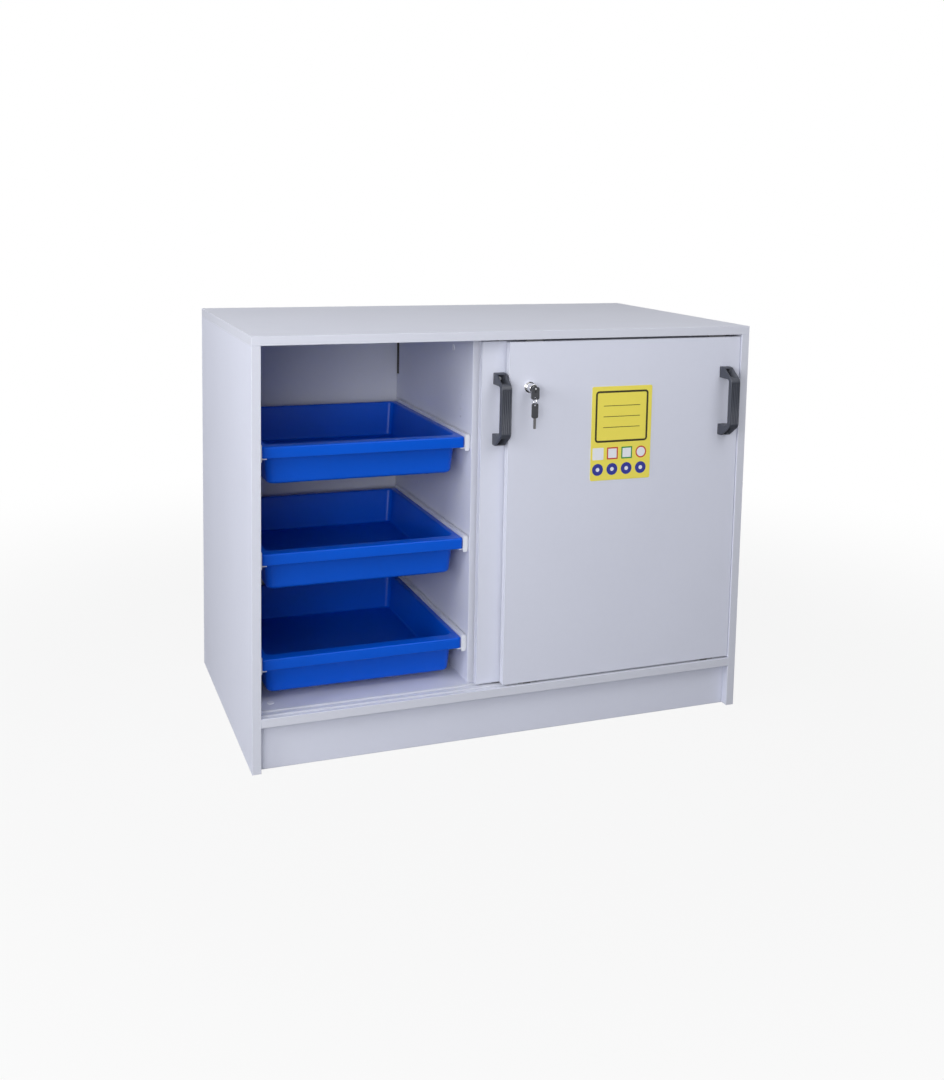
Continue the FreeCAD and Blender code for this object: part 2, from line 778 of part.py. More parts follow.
def make_key_bow():
    body = new_body("key_bow")
    sketch = new_sketch(body, "XZ_Plane")
    rounded_rectangle(sketch, ("-bow_width / 2", "-bow_drop"), ("bow_width / 2", "bow_rise"), "bow_round")
    pad(body, sketch, "bow_thickness", middle=True)
    cuts = new_sketch(body, "XZ_Plane")
    half_slot = "(key_thickness / 2 + fit_gap)"
    rectangle(cuts, (f"-{half_slot}", "-bow_slot_drop"), (half_slot, "bow_rise + overrun"))
    circle(cuts, ("0", "-eye_drop"), "eye_diameter / 2")
    pocket(body, cuts, "bow_thickness + overrun", middle=True)
    pin = new_sketch(body, "YZ_Plane")
    circle(pin, ("0", "0"), "key_pin / 2")
    pad(body, pin, "bow_width / 2", middle=True)
    keep(body, "key_bow", "lock_place", "hinge_front", "lock_level")


def make_key_ring():
    ring = doc.addObject("Part::Torus", "ring_shape")
    ring.setExpression("Radius1", bound("ring_radius"))
    ring.setExpression("Radius2", bound("ring_wire"))
    aim(ring, (1, 0, 0))
    keep(copy_of("key_ring", ring), "key_ring", "lock_place", "hinge_front", "lock_level - ring_drop")


# The spare key hangs from the ring. Zero is the middle of its eye.
def make_spare_key():
    body = new_body("spare_key")
    sketch = new_sketch(body, "XZ_Plane")
    rounded_rectangle(sketch, ("-spare_width / 2", "spare_rise - spare_length"),
                      ("spare_width / 2", "spare_rise"), "spare_round")
    pad(body, sketch, "spare_thickness", middle=True)
    eye = new_sketch(body, "XZ_Plane")
    circle(eye, ("0", "0"), "eye_diameter / 2")
    pocket(body, eye, "spare_thickness + overrun", middle=True)
    blade = new_sketch(body, "XZ_Plane")
    rectangle(blade, ("-spare_blade_width / 2", "spare_rise - spare_length - spare_blade_length"),
              ("spare_blade_width / 2", "spare_rise - spare_length + spare_round"))
    pad(body, blade, "spare_blade_thickness", middle=True)
    keep(body, "spare_key", "lock_place", "hinge_front", "lock_level - spare_eye_drop")


# A tray: a flange with a skirt round it, and a tub with sloping walls hung in it. Zero is the
# middle of the rim's front edge, at the rim's top.
def tray_frame(sketch, inset, corner):
    rounded_rectangle(sketch, (f"-tray_width / 2 + {inset}", inset),
                      (f"tray_width / 2 - ({inset})", f"tray_depth - ({inset})"), corner)


# The tub's outline, further in than its mouth by the inset given
def tub_frame(sketch, inset, corner):
    rounded_rectangle(sketch, (f"-tray_width / 2 + tub_side_inset + {inset}", f"tub_front_inset + {inset}"),
                      (f"tray_width / 2 - tub_side_inset - ({inset})",
                       f"tray_depth - tub_rear_inset - ({inset})"), corner)


def loft(body, kind, top, bottom):
    item = body.newObject(kind, body.Name + "_loft")
    item.Profile = top
    item.Sections = [bottom]
    item.Ruled = True
    doc.recompute()


def make_tray():
    body = new_body("tray")
    skirt = new_sketch(body, "XY_Plane")
    tray_frame(skirt, "0", "rim_corner")
    tray_frame(skirt, "rim_wall", "rim_corner - rim_wall")
    pad(body, skirt, "rim_height", back=True)
    flange = new_sketch(body, "XY_Plane")
    tray_frame(flange, "0", "rim_corner")
    pad(body, flange, "rim_wall", back=True)
    top = new_sketch(body, "XY_Plane")
    tub_frame(top, "0", "tub_corner")
    bottom = new_sketch(body, "XY_Plane", "-tray_height")
    tub_frame(bottom, "tub_slope", "tub_corner")
    loft(body, "PartDesign::AdditiveLoft", top, bottom)
    low = -value("tray_height")
    soften(body, "tub_bottom_round", lambda edge: all(abs(end.Z - low) < hair for end in edge.Vertexes))
    mouth = new_sketch(body, "XY_Plane")
    tub_frame(mouth, "tub_wall", "tub_corner - tub_wall")
    well = new_sketch(body, "XY_Plane", "tub_wall - tray_height")
    tub_frame(well, "tub_slope + tub_wall", "tub_corner - tub_wall")
    loft(body, "PartDesign::SubtractiveLoft", mouth, well)
    low = value("tub_wall - tray_height")
    soften(body, "tub_bottom_round - tub_wall",
           lambda edge: all(abs(end.Z - low) < hair for end in edge.Vertexes))
    return body


# The right-hand runner on a tray: a ledge under the skirt, a web beside it, a flange outwards over the
# rollers, an end tab in front and the rear roller's axle. Drawn in the tray's own place.
def make_tray_runner():
    body = new_body("tray_runner")
    sketch = new_sketch(body, "XZ_Plane")
    inner, outer, ledge = "tray_width / 2", "tray_width / 2 + runner_sheet", "tray_width / 2 - runner_ledge"
    edge, under = "tray_width / 2 + runner_flange", "runner_rise - runner_sheet"
    outline(sketch, [(ledge, "-rim_height - runner_sheet"), (outer, "-rim_height - runner_sheet"),
                     (outer, under), (edge, under), (edge, "runner_rise"), (inner, "runner_rise"),
                     (inner, "-rim_height"), (ledge, "-rim_height")])
    pad(body, sketch, "tray_depth", back=True)
    tab = new_sketch(body, "XZ_Plane")
    rectangle(tab, (inner, "runner_rise - runner_end_height"), (edge, "runner_rise"))
    pad(body, tab, "runner_sheet", back=True)
    axle = new_sketch(body, "YZ_Plane", inner)
    circle(axle, ("tray_depth - rear_axle_inset", "-rear_roller_drop"), "axle_diameter / 2")
    pad(body, axle, "tray_side_gap / 2 + roller_width / 2")
    return body


# The right-hand runner on a wall: a web with a channel for the tray's roller, open in front, where its
# own roller carries the tray. Drawn in the tray's own place.
def make_wall_runner():
    body = new_body("wall_runner")
    wall, web = "bay_width / 2", "bay_width / 2 - runner_sheet"
    lip = f"{web} - channel_flange"
    sketch = new_sketch(body, "XZ_Plane", "runner_setback")
    outline(sketch, [(lip, "channel_top - runner_sheet"), (wall, "channel_top - runner_sheet"), (wall, "0"),
                     (web, "0"), (web, "channel_top"), (lip, "channel_top")])
    pad(body, sketch, "runner_length", back=True)
    guard = new_sketch(body, "XZ_Plane", "runner_setback - guard_start")
    rectangle(guard, (lip, "rear_roller_top"), (web, "rear_roller_top + runner_sheet"))
    pad(body, guard, "runner_length - guard_start", back=True)
    axle = new_sketch(body, "YZ_Plane", web)
    circle(axle, ("front_axle_inset - runner_setback", "-front_roller_drop"), "axle_diameter / 2")
    pad(body, axle, "tray_side_gap / 2 - runner_sheet + roller_width / 2", back=True)
    holes = new_sketch(body, "YZ_Plane", "bay_width / 2")
    for row in ("runner_screw_inset", "runner_length - runner_screw_inset"):
        circle(holes, (f"{row} - runner_setback", "-rear_roller_drop"), "runner_screw / 2 + screw_gap")
    pocket(body, holes, "runner_sheet + fit_gap")
    return body


def make_trays():
    tray, runner, wall_runner = make_tray(), make_tray_runner(), make_wall_runner()
    roller = wheel_body("roller", "YZ_Plane", "roller_diameter", "roller_width")
    across = (0, 0, 1)
    pair = copy_of("tray_runner_pair", runner, mirrored("left_tray_runner", runner))
    wall_pair = copy_of("wall_runner_pair", wall_runner, mirrored("left_wall_runner", wall_runner))
    roller_pair = group_of("roller_pair", roller, [("roller_middle", "0", "0", across),
                                                   ("-roller_middle", "0", "0", across)])
    front_row = "runner_front + front_axle_inset"
    rear_row = "tray_front + tray_depth - rear_axle_inset"
    for bay in ("left", "right"):
        middle = f"{bay}_bay_middle"
        walls = [("0", "tray_front", level, across) for level in tray_levels]
        name = f"{bay}_bay_runners"
        keep(group_of(name, wall_pair, walls), name, middle, "0", "0")
        for step, level in zip(("upper", "middle", "lower"), tray_levels):
            stem = f"{bay}_{step}"
            keep(copy_of(f"{stem}_tray", tray), f"{stem}_tray", middle, "tray_front", level)
            name = f"{stem}_tray_runners"
            keep(copy_of(name, pair), name, middle, "tray_front", level)
            name = f"{stem}_tray_rollers"
            keep(copy_of(name, roller_pair), name, middle, rear_row, f"{level} - rear_roller_drop")
            name = f"{stem}_front_rollers"
            keep(copy_of(name, roller_pair), name, middle, front_row, f"{level} - front_roller_drop")


def make_runner_screws():
    screw = screw_body("runner_screw_shape", "runner_screw", "runner_screw_length", "runner_screw_head",
                       "runner_screw_head_height")
    walls = [("board + runner_sheet", (-1, 0, 0)), ("board + bay_width - runner_sheet", (1, 0, 0)),
             ("cabinet_width - board - bay_width + runner_sheet", (-1, 0, 0)),
             ("cabinet_width - board - runner_sheet", (1, 0, 0))]
    places = [(x, row, level, direction) for x, direction in walls
              for row, level in runner_screw_spots("0", "0")]
    keep(group_of("runner_screws", screw, places), "runner_screws", "0", "0", "0")


make_side_panels()
make_top_panel()
make_base_panel()
make_partition("left_partition", "left_partition_place", "0")
make_partition("right_partition", "right_partition_place", "board")
make_plain_boards()
make_caps()
make_track("lower_door_track", "base_top - track_height", "0", "track_floor", "track_height")
make_track("upper_door_track", "ceiling", "track_height", "channel_depth", "0")
make_doors()
make_door_fittings()
make_handles()
make_sign()
make_lock_housing()
make_lock_cylinder()
make_lock_plug()
make_striker()
make_key()
make_key_bow()
make_key_ring()
make_spare_key()
make_trays()
make_runner_screws()
doc.recompute()

# Every object must have been made, and every sub-part must be a sound solid, before any is written
failed = [item.Name for item in doc.Objects if {"Invalid", "Error"} & set(item.State)]
if failed:
    raise ValueError("failed objects: " + ", ".join(failed))
for name, item in nodes.items():
    if item.Shape.isNull() or not item.Shape.isValid() or not item.Shape.Solids:
        raise ValueError("bad shape: " + name)

os.makedirs("parts", exist_ok=True)
for name, item in nodes.items():
    item.Shape.exportStep(f"parts/{name}.step")
box = Part.makeCompound([item.Shape for item in nodes.values()]).BoundBox
print(len(nodes), "sub-parts in a box of", box)
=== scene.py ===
import math

import bmesh
import bpy
import numpy as np
from mathutils import Matrix, Vector


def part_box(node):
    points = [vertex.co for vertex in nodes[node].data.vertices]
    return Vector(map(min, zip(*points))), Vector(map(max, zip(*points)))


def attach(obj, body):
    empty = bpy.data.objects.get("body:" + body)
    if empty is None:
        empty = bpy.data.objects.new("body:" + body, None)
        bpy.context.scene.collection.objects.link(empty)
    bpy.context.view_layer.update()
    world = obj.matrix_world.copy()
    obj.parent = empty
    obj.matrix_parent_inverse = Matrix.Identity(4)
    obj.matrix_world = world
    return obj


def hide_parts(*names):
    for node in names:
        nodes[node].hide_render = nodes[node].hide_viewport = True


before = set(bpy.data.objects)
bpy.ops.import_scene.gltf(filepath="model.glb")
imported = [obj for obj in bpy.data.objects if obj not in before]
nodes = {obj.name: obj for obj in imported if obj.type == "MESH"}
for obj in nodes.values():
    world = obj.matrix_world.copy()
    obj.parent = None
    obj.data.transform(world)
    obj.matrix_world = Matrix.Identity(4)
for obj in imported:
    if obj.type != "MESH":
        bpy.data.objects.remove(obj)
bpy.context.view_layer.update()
scene = bpy.context.scene

# Colours are linear
# The band's and the seam's darker colours are partly painted shade on the boards' edges
paint = {"board": (0.648, 0.670, 0.780), "bandAndShade": (0.612, 0.630, 0.715), "seamAndShade": (0.34, 0.35, 0.40),
         # The dark brown below is painted shade of the void behind the partitions, put on the back panel
         "back": (0.61, 0.63, 0.715), "voidShade": (0.070, 0.062, 0.056), "tray": (0.0, 0.088, 0.61),
         "trayWorn": (0.01, 0.13, 0.66), "handle": (0.040, 0.045, 0.062),
         "handleWorn": (0.085, 0.092, 0.115), "track": (0.69, 0.71, 0.78),
         "runner": (0.72, 0.74, 0.80), "nylon": (0.055, 0.055, 0.060),
         "insert": (0.14, 0.14, 0.15), "chrome": (0.72, 0.72, 0.73), "zinc": (0.55, 0.56, 0.58),
         "steel": (0.58, 0.58, 0.60), "bow": (0.052, 0.054, 0.062), "cap": (0.80, 0.81, 0.86),
         "vinyl": (0.82, 0.715, 0.11), "ink": (0.035, 0.03, 0.012), "blue": (0.03, 0.04, 0.29),
         "red": (0.52, 0.045, 0.04), "green": (0.02, 0.26, 0.06), "white": (0.76, 0.78, 0.83)}

# Edges that turn by more than this many degrees stay hard
hardFrom = {"moulding": 38, "handle": 35}


# Mesh arrays

# Quads of a grid of points whose rows follow each other, with its columns joined in a ring
def ringFaces(rows, columns, joinRows=False):
    row = np.arange(rows if joinRows else rows - 1)[:, None] * columns
    column = np.arange(columns)[None, :]
    after = (column + 1) % columns
    above = (row + columns) % (rows * columns)
    quads = np.stack([row + column, row + after, above + after, above + column], axis=-1)
    return quads.reshape(-1, 4).tolist()


# Points of a rounded rectangle, counter-clockwise: each corner is a quarter circle about its hub
def roundedLoop(halfX, halfY, corner, steps):
    turn = np.linspace(0, math.pi / 2, steps + 1)
    angles = np.concatenate([turn + quarter * math.pi / 2 for quarter in range(4)])
    signX = np.repeat([1, -1, -1, 1], steps + 1)
    signY = np.repeat([1, 1, -1, -1], steps + 1)
    x = signX * (halfX - corner) + corner * np.cos(angles)
    y = signY * (halfY - corner) + corner * np.sin(angles)
    return np.stack([x, y], axis=-1)


# Points of an arc between two angles in degrees: its middle plus the radius times the cosine and sine
def arc(middle, radius, start, end, steps):
    angles = np.radians(np.linspace(start, end, steps + 1))
    return np.stack([middle[0] + radius * np.cos(angles), middle[1] + radius * np.sin(angles)], axis=-1)


# Loops of equal length stacked into a closed skin, with a flat cap at both ends
def stacked(loops):
    rows, columns = len(loops), len(loops[0])
    points = np.concatenate(loops)
    faces = ringFaces(rows, columns)
    faces.append(list(range(columns))[::-1])
    faces.append(list(range((rows - 1) * columns, rows * columns)))
    return points, faces


# Several sets of points and faces as one
def merged(shapes):
    points, faces, start = [], [], 0
    for some, theirs in shapes:
        points.append(some)
        faces += [[index + start for index in face] for face in theirs]
        start += len(some)
    return np.concatenate(points), faces


def piece(name, points, faces, material, body, smooth=True):
    mesh = bpy.data.meshes.new(name)
    mesh.from_pydata(np.asarray(points, float).tolist(), [], faces)
    if smooth:
        mesh.shade_smooth()
        mesh.set_sharp_from_angle(angle=math.radians(hardFrom["moulding"]))
    mesh.materials.append(material)
    item = bpy.data.objects.new(name, mesh)
    scene.collection.objects.link(item)
    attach(item, body)
    return item


# Node trees

def fillSocket(tree, socket, fill):
    if isinstance(fill, bpy.types.NodeSocket):
        tree.links.new(fill, socket)
    else:
        socket.default_value = fill


def put(tree, kind, fills=None, **settings):
    item = tree.nodes.new("ShaderNode" + kind)
    for key, setting in settings.items():
        setattr(item, key, setting)
    for key, fill in (fills or {}).items():
        fillSocket(tree, item.inputs[key], fill)
    return item


def calc(tree, operation, *values):
    return put(tree, "Math", dict(enumerate(values)), operation=operation).outputs[0]


def fade(tree, value, low, high, toLow=0.0, toHigh=1.0):
    fills = {"Value": value, "From Min": low, "From Max": high, "To Min": toLow, "To Max": toHigh}
    return put(tree, "MapRange", fills, interpolation_type="SMOOTHSTEP").outputs["Result"]


def noise(tree, where, scale, detail=2.0, roughness=0.5):
    fills = {"Vector": where, "Scale": scale, "Detail": detail, "Roughness": roughness}
    return put(tree, "TexNoise", fills).outputs["Fac"]


# A mix of two colours, which the node takes in its sockets 6 and 7
def blendOf(tree, factor, first, second):
    return put(tree, "Mix", {0: factor, 6: first, 7: second}, data_type="RGBA").outputs[2]


def newGroup(name, inputs, outputs):
    tree = bpy.data.node_groups.new(name, "ShaderNodeTree")
    for title, kind, value in inputs:
        socket = tree.interface.new_socket(title, in_out="INPUT", socket_type="NodeSocket" + kind)
        socket.default_value = value
    for title, kind in outputs:
        tree.interface.new_socket(title, in_out="OUTPUT", socket_type="NodeSocket" + kind)
    return tree, tree.nodes.new("NodeGroupInput").outputs, tree.nodes.new("NodeGroupOutput").inputs


def objectPlace(tree):
    return put(tree, "TexCoord").outputs["Object"]


skinGrain = {"broad": 4.0, "broadShare": 0.65, "mottle": 70.0, "mottleShare": 0.35, "wiped": 9.0}


# Moulded or painted skin: a broad drift of tone, small mottle, and a fine pebble for the bump
def skinGroup():
    tree, given, result = newGroup(
        "skin", [("Pebble", "Float", 600.0), ("Drift", "Float", 0.04), ("Smooth", "Float", 0.4),
                 ("Spread", "Float", 0.1)],
        [("Tone", "Float"), ("Roughness", "Float"), ("Height", "Float")])
    place = objectPlace(tree)
    broad = noise(tree, place, skinGrain["broad"], 3.0)
    mottle = noise(tree, place, skinGrain["mottle"], 3.0, 0.6)
    both = calc(tree, "ADD", calc(tree, "MULTIPLY", broad, skinGrain["broadShare"]),
                calc(tree, "MULTIPLY", mottle, skinGrain["mottleShare"]))
    centred = calc(tree, "MULTIPLY", calc(tree, "SUBTRACT", both, 0.5), given["Drift"])
    tree.links.new(calc(tree, "ADD", 1.0, centred), result["Tone"])
    wiped = noise(tree, place, skinGrain["wiped"], 4.0, 0.65)
    span = calc(tree, "MULTIPLY", calc(tree, "SUBTRACT", wiped, 0.5), given["Spread"])
    tree.links.new(calc(tree, "ADD", given["Smooth"], span), result["Roughness"])
    tree.links.new(noise(tree, place, given["Pebble"], 2.0), result["Height"])
    return tree


wornEdge = {"radius": 0.0012, "turn": (0.02, 0.25), "patch": 45.0, "patches": (0.35, 0.7)}


# Where a surface turns sharply: one minus the dot product of the true and the rounded normal
def edgeGroup():
    tree, given, result = newGroup("edges", [("Strength", "Float", 1.0)], [("Mask", "Float")])
    rounded = put(tree, "Bevel", {"Radius": wornEdge["radius"]}, samples=4).outputs[0]
    true = put(tree, "NewGeometry").outputs["True Normal"]
    dot = put(tree, "VectorMath", {0: rounded, 1: true}, operation="DOT_PRODUCT").outputs["Value"]
    turned = fade(tree, calc(tree, "SUBTRACT", 1.0, dot), *wornEdge["turn"])
    broken = fade(tree, noise(tree, objectPlace(tree), wornEdge["patch"], 4.0, 0.7), *wornEdge["patches"])
    worn = calc(tree, "MULTIPLY", calc(tree, "MULTIPLY", turned, broken), given["Strength"])
    tree.links.new(worn, result["Mask"])
    return tree


# How thick the band and its seam, which are drawn darker partly as painted shade, show beside an edge, in
# metres; "push" is more than the longest board
edgeBand = {"thick": 0.0016, "seamAndShade": 0.00028, "seamShare": 0.5, "push": (4, 4, 4)}


# A board's edge band and its seam line, both coloured darker partly as painted shade on the edges. The way
# to the nearest edge is the least of the distances to the box's faces, without the face that is being
# looked at, which its normal pushes far away
def bandGroup():
    tree, given, result = newGroup(
        "edgeBand", [("Low", "Vector", (0, 0, 0)), ("High", "Vector", (1, 1, 1)),
                     ("Thin", "Vector", (0, 0, 1))],
        [("Band", "Float"), ("Seam", "Float")])
    place = objectPlace(tree)
    normal = put(tree, "NewGeometry").outputs["Normal"]
    size = put(tree, "VectorMath", {0: normal}, operation="ABSOLUTE").outputs[0]
    fromLow = put(tree, "VectorMath", {0: place, 1: given["Low"]}, operation="SUBTRACT").outputs[0]
    fromHigh = put(tree, "VectorMath", {0: given["High"], 1: place}, operation="SUBTRACT").outputs[0]
    least = put(tree, "VectorMath", {0: fromLow, 1: fromHigh}, operation="MINIMUM").outputs[0]
    fills = {0: size, 1: edgeBand["push"], 2: least}
    pushed = put(tree, "VectorMath", fills, operation="MULTIPLY_ADD").outputs[0]
    parts = put(tree, "SeparateXYZ", {0: pushed}).outputs
    nearest = calc(tree, "MINIMUM", calc(tree, "MINIMUM", parts[0], parts[1]), parts[2])
    facing = put(tree, "VectorMath", {0: size, 1: given["Thin"]}, operation="DOT_PRODUCT").outputs["Value"]
    broadFace = calc(tree, "GREATER_THAN", facing, 0.5)
    rim = calc(tree, "MULTIPLY", calc(tree, "LESS_THAN", nearest, edgeBand["thick"]), broadFace)
    edgeFace = calc(tree, "SUBTRACT", 1.0, broadFace)
    tree.links.new(calc(tree, "MAXIMUM", rim, edgeFace), result["Band"])
    off = calc(tree, "ABSOLUTE", calc(tree, "SUBTRACT", nearest, edgeBand["thick"]))
    line = calc(tree, "MULTIPLY", fade(tree, off, 0.0, edgeBand["seamAndShade"], 1.0, 0.0), broadFace)
    tree.links.new(line, result["Seam"])
    return tree


groups = {"skin": skinGroup(), "edges": edgeGroup(), "bandAndShade": bandGroup()}


def useGroup(tree, name, fills):
    item = tree.nodes.new("ShaderNodeGroup")
    item.node_tree = groups[name]
    for key, fill in fills.items():
        item.inputs[key].default_value = fill
    return item.outputs


def newMaterial(name):
    material = bpy.data.materials.new(name)
    material.use_nodes = True
    tree = material.node_tree
    return material, tree, tree.nodes["Principled BSDF"].inputs


def opaque(colour):
    return (*colour, 1.0)


# What every finish ends in: its colour scaled by the skin's tone, its roughness and a bump
def joinSkin(tree, shader, base, tone, roughness, height, bump, depth):
    toned = put(tree, "VectorMath", {0: base, "Scale": tone}, operation="SCALE").outputs[0]
    tree.links.new(toned, shader["Base Color"])
    tree.links.new(roughness, shader["Roughness"])
    lift = put(tree, "Bump", {"Strength": bump, "Distance": depth, "Height": height}).outputs[0]
    tree.links.new(lift, shader["Normal"])


# A plain finish, worn lighter along the edges, with a pebbled bump
def finish(name, colour, worn=None, smooth=0.4, spread=0.1, drift=0.06, pebble=600.0, bump=0.05,
           depth=0.0003, wear=0.6, metal=0.0, gloss=0.5):
    material, tree, shader = newMaterial(name)
    skin = useGroup(tree, "skin", {"Pebble": pebble, "Drift": drift, "Smooth": smooth, "Spread": spread})
    edges = useGroup(tree, "edges", {"Strength": wear})
    base = blendOf(tree, edges["Mask"], opaque(colour), opaque(worn or colour))
    joinSkin(tree, shader, base, skin["Tone"], skin["Roughness"], skin["Height"], bump, depth)
    shader["Metallic"].default_value = metal
    shader["Specular IOR Level"].default_value = gloss
    return material


# A coated board of the cabinet with its edge band, from the corners of its box. The band and its seam are
# coloured darker than the board, partly as painted shade on the edges
def boardFinish(name, thin):
    material, tree, shader = newMaterial("board_" + name)
    low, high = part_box(name)
    bandAndShade = useGroup(tree, "bandAndShade", {"Low": low, "High": high, "Thin": thin})
    skin = useGroup(tree, "skin", {"Pebble": 1500.0, "Drift": 0.07, "Smooth": 0.47, "Spread": 0.10})
    # Painted shade: the band and its seam are coloured darker than the board
    base = blendOf(tree, bandAndShade["Band"], opaque(paint["board"]), opaque(paint["bandAndShade"]))
    seamAndShade = calc(tree, "MULTIPLY", bandAndShade["Seam"], edgeBand["seamShare"])
    seamed = blendOf(tree, seamAndShade, base, opaque(paint["seamAndShade"]))
    height = calc(tree, "SUBTRACT", calc(tree, "MULTIPLY", skin["Height"], 0.25), bandAndShade["Seam"])
    joinSkin(tree, shader, seamed, skin["Tone"], skin["Roughness"], height, 0.12, 0.0002)
    return material


# The back panel: coated in the bays, and painted dark in front of the void between the partitions, as
# painted shade of that deep void
def backFinish():
    material, tree, shader = newMaterial("backPanel")
    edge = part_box("left_partition")[0].x
    across = put(tree, "SeparateXYZ", {0: objectPlace(tree)}).outputs[0]
    facing = put(tree, "SeparateXYZ", {0: put(tree, "NewGeometry").outputs["Normal"]}).outputs[1]
    within = calc(tree, "LESS_THAN", calc(tree, "ABSOLUTE", across), -edge)
    # Painted shade: the back panel's front face between the partitions is coloured dark
    voidShade = calc(tree, "MULTIPLY", within, calc(tree, "LESS_THAN", facing, -0.5))
    skin = useGroup(tree, "skin", {"Pebble": 900.0, "Drift": 0.07, "Smooth": 0.5, "Spread": 0.1})
    base = blendOf(tree, voidShade, opaque(paint["back"]), opaque(paint["voidShade"]))
    joinSkin(tree, shader, base, skin["Tone"], skin["Roughness"], skin["Height"], 0.08, 0.0003)
    return material


spareKey = {"blade": 0.023, "bladeGloss": 0.16}


# The spare key: a plastic bow above a steel blade, which is smoother
def spareFinish():
    material, tree, shader = newMaterial("spareKey")
    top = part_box("spare_key")[0].z + spareKey["blade"]
    level = put(tree, "SeparateXYZ", {0: objectPlace(tree)}).outputs[2]
    blade = calc(tree, "LESS_THAN", level, top)
    skin = useGroup(tree, "skin", {"Pebble": 1200.0, "Drift": 0.15, "Smooth": 0.42, "Spread": 0.1})
    base = blendOf(tree, blade, opaque(paint["bow"]), opaque(paint["steel"]))
    rough = calc(tree, "SUBTRACT", skin["Roughness"], calc(tree, "MULTIPLY", blade, spareKey["bladeGloss"]))
    joinSkin(tree, shader, base, skin["Tone"], rough, skin["Height"], 0.1, 0.0002)
    tree.links.new(blade, shader["Metallic"])
    return material


materials = {
    "back": backFinish(),
    "spare": spareFinish(),
    "insert": finish("insertPlastic", paint["insert"], smooth=0.45, drift=0.12),
    "tray": finish("trayPlastic", paint["tray"], paint["trayWorn"], smooth=0.30, spread=0.12, drift=0.22,
                   pebble=260.0, bump=0.06, wear=0.5, gloss=0.2),
    "handle": finish("handlePlastic", paint["handle"], paint["handleWorn"], smooth=0.42, spread=0.12,
                     drift=0.2, pebble=1400.0, bump=0.25, depth=0.0002),
    "track": finish("trackPlastic", paint["track"], smooth=0.36, drift=0.05),
    "runner": finish("runnerPaint", paint["runner"], smooth=0.34, drift=0.05, pebble=900.0, bump=0.08),
    "nylon": finish("nylon", paint["nylon"], smooth=0.45, drift=0.1),
    "chrome": finish("chrome", paint["chrome"], smooth=0.12, spread=0.10, drift=0.04, metal=1.0, bump=0.02),
    "zinc": finish("zinc", paint["zinc"], smooth=0.32, spread=0.16, drift=0.15, metal=1.0),
    "steel": finish("steel", paint["steel"], smooth=0.25, spread=0.12, drift=0.1, metal=1.0),
    "bow": finish("keyBow", paint["bow"], smooth=0.45, drift=0.15, pebble=1200.0, bump=0.15),
    "cap": finish("capPlastic", paint["cap"], smooth=0.42),
    "vinyl": finish("signVinyl", paint["vinyl"], smooth=0.36, spread=0.08, drift=0.05, pebble=350.0,
                    bump=0.03, wear=0.0),
}
for ink in ("ink", "blue", "red", "green", "white"):
    materials[ink] = finish("print_" + ink, paint[ink], smooth=0.38, spread=0.06, drift=0.12, pebble=400.0,
                            bump=0.03, wear=0.0)

# Each board with the axis that it is thin along
boards = {"top_panel": (0, 0, 1), "base_panel": (0, 0, 1), "left_side_panel": (1, 0, 0),
          "right_side_panel": (1, 0, 0), "left_partition": (1, 0, 0), "right_partition": (1, 0, 0),
          "kick_board": (0, 1, 0), "left_door": (0, 1, 0), "right_door": (0, 1, 0)}
finishes = {"back_panel": "back", "upper_door_track": "track", "lower_door_track": "track",
            "left_bay_runners": "runner", "right_bay_runners": "runner", "runner_screws": "zinc",
            "connector_caps": "cap", "left_door_inserts": "insert", "right_door_inserts": "insert",
            "striker_plate": "zinc", "sign_plate": "vinyl", "lock_housing": "chrome",
            "lock_cylinder": "chrome", "lock_plug": "steel", "key": "steel", "key_bow": "bow",
            "key_ring": "chrome", "spare_key": "spare", "left_handle_screws": "zinc",
            "right_handle_screws": "zinc"}
endings = {"_tray_runners": "runner", "_rollers": "nylon", "_wheel": "nylon", "_tray": "tray",
           "_handle": "handle"}


def dress(name, material):
    item = nodes[name]
    if not item.material_slots:
        item.data.materials.append(material)
    for slot in item.material_slots:
        slot.material = material


for name in sorted(nodes):
    ending = next((finishName for end, finishName in endings.items() if name.endswith(end)), None)
    if name in boards:
        dress(name, boardFinish(name, boards[name]))
    elif name in finishes:
        dress(name, materials[finishes[name]])
    elif ending:
        dress(name, materials[ending])
    else:
        raise RuntimeError("no finish for " + name)
print("finishes on", len(nodes), "nodes")


# Heights and insets of a tray, in metres; its corners' radius goes by how far in a loop lies
tray = {"rim": 0.024, "wall": 0.003, "tub": 0.0035, "side": 0.011, "front": 0.026, "rear": 0.012,
        "slope": 0.006, "round": 0.0032, "floorRound": 0.008, "cornerAt": (0, 0.003, 0.011, 0.017),
        "corner": (0.008, 0.006, 0.014, 0.014), "steps": 8}


# Trays: a moulded sheet with a rolled rim. The section runs from the tub's floor up its inner wall,
# over the rim, down the skirt, back under the rim and down the outer wall to the underside
def traySection(height):
    inner = tray["side"] + tray["tub"]
    foot = inner + tray["slope"]
    low = tray["tub"] - height
    lean = math.degrees(math.atan2(tray["slope"], height))
    soft, wall, inside = tray["round"], tray["wall"], tray["floorRound"] - tray["tub"]
    lip = tray["wall"] / 2
    under, bend = tray["side"] + tray["slope"], tray["floorRound"]
    runs = [arc((foot + inside, low + inside), inside, 270, 180 + lean, 6),
            arc((inner - soft, -soft), soft, lean, 90, 6),
            arc((soft, -soft), soft, 90, 180, 7),
            arc((lip, lip - tray["rim"]), lip, 180, 360, 8),
            arc((wall + lip, -wall - lip), lip, 180, 90, 4),
            arc((tray["side"] - lip, -wall - lip), lip, 90, lean, 4),
            arc((under + bend, bend - height), bend, 180 + lean, 270, 7)]
    return np.concatenate(runs)


# The rim's flange is as wide as given at this end, so the way in from there is the side's with the
# flange stretched
def endInset(inset, flange):
    stretched = (0, tray["wall"], flange, flange + 1 - tray["side"])
    return float(np.interp(inset, (0, tray["wall"], tray["side"], 1), stretched))


